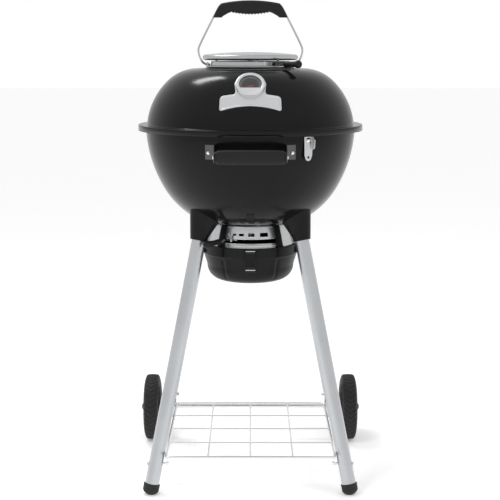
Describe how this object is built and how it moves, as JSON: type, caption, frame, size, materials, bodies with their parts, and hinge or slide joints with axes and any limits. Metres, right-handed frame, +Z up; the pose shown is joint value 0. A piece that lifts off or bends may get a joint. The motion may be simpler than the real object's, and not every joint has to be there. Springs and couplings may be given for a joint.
{
  "type": "kettle charcoal grill",
  "caption": "Enamelled kettle charcoal grill with a lift-off lid, vent cap, ash bucket, wire rack and tubular legs on wheels.",
  "frame": {"origin": "centre of the whole grill's footprint, on the ground", "axes": "+Z up, -Y towards the user at the front handle, +X to the user's right"},
  "size_m": [0.6272, 0.6519, 1.2353],
  "materials": {
    "enamel": "gloss porcelain enamel",
    "black_steel": "satin black",
    "stainless": "brushed",
    "aluminium": "satin anodised",
    "chrome": "polished",
    "nylon": "fine texture",
    "foot_rubber": "matte",
    "tyre": "moulded tread",
    "grate": "plated wire",
    "gasket_steel": "plain steel",
    "dial": "printed dial",
    "glass": "clear",
    "pointer_red": "red lacquer"
  },
  "bodies": {
    "stand": {"bowl": "enamel", "grate_supports": "gasket_steel", "vent_housing": "stainless", "housing_struts": "black_steel", "housing_straps": "black_steel", "side_panel_left": "stainless", "side_panel_right": "stainless", "socket_front_left": "nylon", "socket_front_right": "nylon", "socket_rear_left": "nylon", "socket_rear_right": "nylon", "leg_front_left": "aluminium", "leg_front_right": "aluminium", "leg_rear_left": "aluminium", "leg_rear_right": "aluminium", "foot_left": "foot_rubber", "foot_right": "foot_rubber", "end_plug_left": "nylon", "end_plug_right": "nylon", "axle": "chrome", "axle_caps": "nylon", "wire_rack": "grate", "rack_screws": "chrome", "front_grip": "nylon", "grip_bracket_left": "black_steel", "grip_bracket_right": "black_steel", "grip_screws": "chrome", "opener_plate": "stainless", "opener_screw": "chrome"},
    "lid": {"lid_shell": "enamel", "vent_collar": "stainless", "cap_posts": "stainless", "vent_cap": "stainless", "gauge_bezel": "chrome", "gauge_dial": "dial", "gauge_glass": "glass", "gauge_probe": "stainless", "gauge_nut": "gasket_steel", "badge_plate": "chrome"},
    "lid_bail": {"bail_wire": "chrome", "bail_grip": "nylon"},
    "top_damper": {"damper_disc": "stainless", "damper_lever": "chrome", "damper_grip": "nylon"},
    "dial_pointer": {"gauge_pointer": "pointer_red"},
    "air_control": {"ash_sweep": "gasket_steel", "sweep_lever": "chrome", "sweep_grip": "nylon"},
    "bucket": {"ash_bucket": "black_steel"},
    "front_latch": {"bucket_latch": "black_steel"},
    "left_clip": {"bucket_clip_left": "black_steel"},
    "right_clip": {"bucket_clip_right": "black_steel"},
    "left_wheel": {"tyre_left": "tyre", "wheel_left": "nylon"},
    "right_wheel": {"tyre_right": "tyre", "wheel_right": "nylon"},
    "cooking_grate_body": {"cooking_grate": "grate"},
    "charcoal_grate_body": {"charcoal_grate": "grate"}
  },
  "joints": [
    {"name": "lid_lift", "type": "slide", "parent": "stand", "child": "lid", "axis": [0, 0, 1], "range_m": [0, 0.3]},
    {"name": "bail_swing", "type": "hinge", "parent": "lid", "child": "lid_bail", "pos_m": [0, 0.00876, 1.07334], "axis": [1, 0, 0], "range_deg": [-60, 60]},
    {"name": "top_damper_turn", "type": "hinge", "parent": "lid", "child": "top_damper", "pos_m": [0, 0.00876, 1.07], "axis": [0, 0, 1], "range_deg": [0, 40]},
    {"name": "pointer_turn", "type": "hinge", "parent": "lid", "child": "dial_pointer", "pos_m": [0, -0.2187, 1.02434], "axis": [0, -0.7314, 0.682], "range_deg": [-216, 0]},
    {"name": "air_control_turn", "type": "hinge", "parent": "stand", "child": "air_control", "pos_m": [0, 0.00876, 0.62852], "axis": [0, 0, 1], "range_deg": [0, 55]},
    {"name": "bucket_drop", "type": "slide", "parent": "stand", "child": "bucket", "axis": [0, 0, -1], "range_m": [0, 0.16]},
    {"name": "front_latch_swing", "type": "hinge", "parent": "bucket", "child": "front_latch", "pos_m": [0, -0.11974, 0.60202], "axis": [1, 0, 0], "range_deg": [-35, 0], "stiffness_Nm_per_rad": 0.2, "springref_deg": 11.46},
    {"name": "left_clip_swing", "type": "hinge", "parent": "bucket", "child": "left_clip", "pos_m": [-0.12716, -0.01827, 0.59202], "axis": [0.2079, -0.9781, 0], "range_deg": [0, 50], "stiffness_Nm_per_rad": 0.1, "springref_deg": -17.19},
    {"name": "right_clip_swing", "type": "hinge", "parent": "bucket", "child": "right_clip", "pos_m": [0.12716, -0.01827, 0.59202], "axis": [0.2079, 0.9781, 0], "range_deg": [0, 50], "stiffness_Nm_per_rad": 0.1, "springref_deg": -17.19},
    {"name": "left_wheel_spin", "type": "hinge", "parent": "stand", "child": "left_wheel", "pos_m": [-0.28177, 0.23297, 0.093], "axis": [1, 0, 0], "continuous": true},
    {"name": "right_wheel_spin", "type": "hinge", "parent": "stand", "child": "right_wheel", "pos_m": [0.28177, 0.23297, 0.093], "axis": [1, 0, 0], "continuous": true},
    {"name": "cooking_grate_lift", "type": "slide", "parent": "stand", "child": "cooking_grate_body", "axis": [0, 0, 1], "range_m": [0, 0.012]},
    {"name": "charcoal_grate_lift", "type": "slide", "parent": "stand", "child": "charcoal_grate_body", "axis": [0, 0, 1], "range_m": [0, 0.1]}
  ]
}
